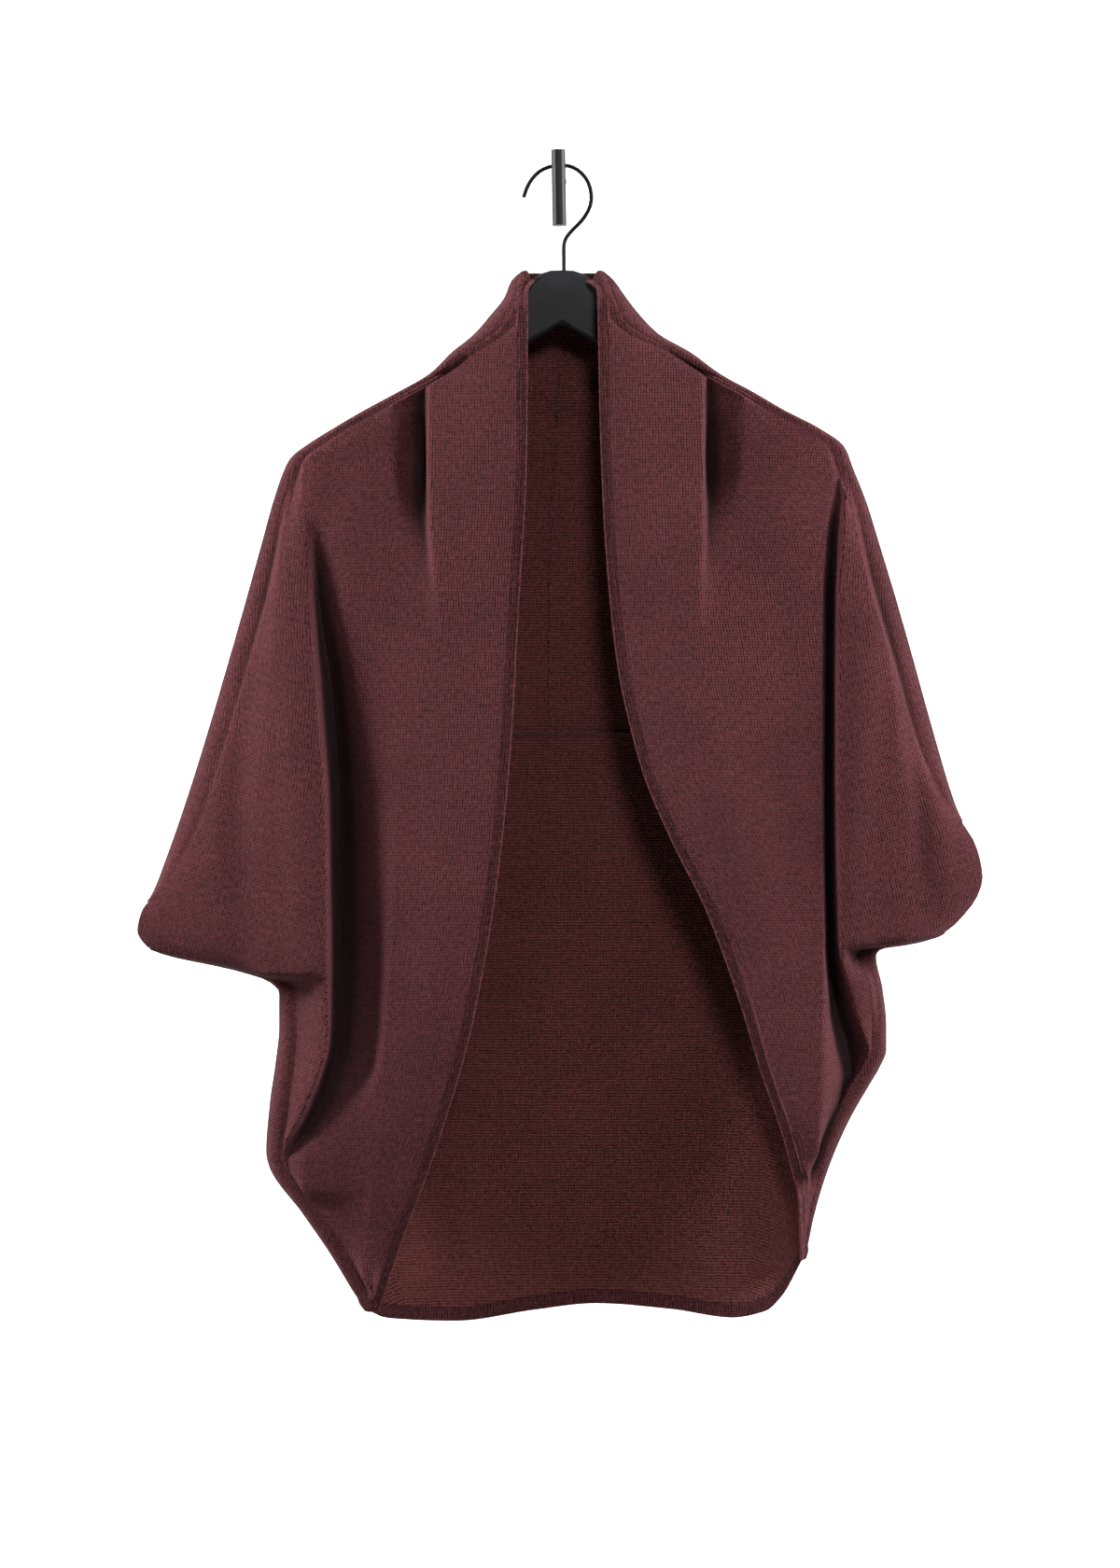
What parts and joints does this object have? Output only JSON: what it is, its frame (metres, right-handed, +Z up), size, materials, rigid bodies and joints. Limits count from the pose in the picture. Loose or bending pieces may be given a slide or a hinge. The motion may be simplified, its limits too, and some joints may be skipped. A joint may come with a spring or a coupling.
{
  "type": "bolero on a hanger and wall hook",
  "caption": "Open cocoon bolero in wine knit with wide batwing sleeves and a shawl collar, hanging on a flat black hanger from an upright wall hook.",
  "frame": {"origin": "centre of the wall hook's back face, on the wall", "axes": "+Z up, +X to the right as seen from the front, +Y into the wall"},
  "size_m": [0.6399, 0.095, 0.8955],
  "materials": {
    "knit": "heathered wine jersey knit with a soft nap, purl side inside",
    "rib": "the same yarn in narrow rib",
    "hanger_wood": "matt black stain on fine grain",
    "black_wire": "satin black",
    "black_metal": "satin black"
  },
  "bodies": {
    "root": {"upper_left_front": "knit", "upper_left_back": "knit", "upper_right_front": "knit", "upper_right_back": "knit", "lower_back": "knit", "neck_band": "rib", "front_band_left": "rib", "front_band_right": "rib", "hem_band": "rib", "cuff_left": "rib", "cuff_right": "rib", "hanger_body": "hanger_wood", "hanger_hook": "black_wire", "wall_hook": "black_metal"}
  },
  "joints": []
}
